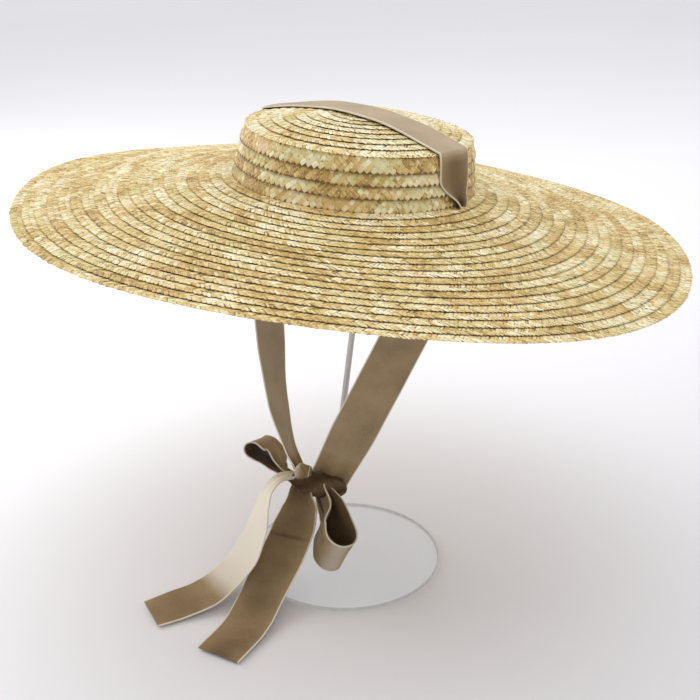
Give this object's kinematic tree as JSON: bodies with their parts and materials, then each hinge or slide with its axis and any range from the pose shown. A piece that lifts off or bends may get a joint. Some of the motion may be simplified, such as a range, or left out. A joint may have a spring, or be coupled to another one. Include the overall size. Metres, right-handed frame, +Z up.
{
  "type": "straw boater hat on display stand",
  "caption": "Wide-brimmed straw boater hat with a shallow crown and a ribbon tied in a bow below, held on a display stand with a clear foot plate and thin post.",
  "frame": {"origin": "middle of the underside of the stand's foot plate, on the table", "axes": "+Z up; -Y the hat's front; X from ear to ear, the way the ribbon runs over the crown"},
  "size_m": [0.4797, 0.5062, 0.3642],
  "materials": {
    "straw": "sewn straw braid, slightly glossy",
    "ribbon": "taupe velvet ribbon with pale selvedges",
    "clear_plate": "clear acrylic, polished",
    "white_metal": "pale satin paint"
  },
  "bodies": {
    "root": {"crown": "straw", "brim": "straw", "ribbon_over_crown": "ribbon", "strap_left": "ribbon", "strap_right": "ribbon", "bow_knot": "ribbon", "bow_loop_left": "ribbon", "bow_loop_right": "ribbon", "tail_left": "ribbon", "tail_right": "ribbon", "stand_base": "clear_plate", "stand_stem": "white_metal", "stand_head": "white_metal"}
  },
  "joints": []
}
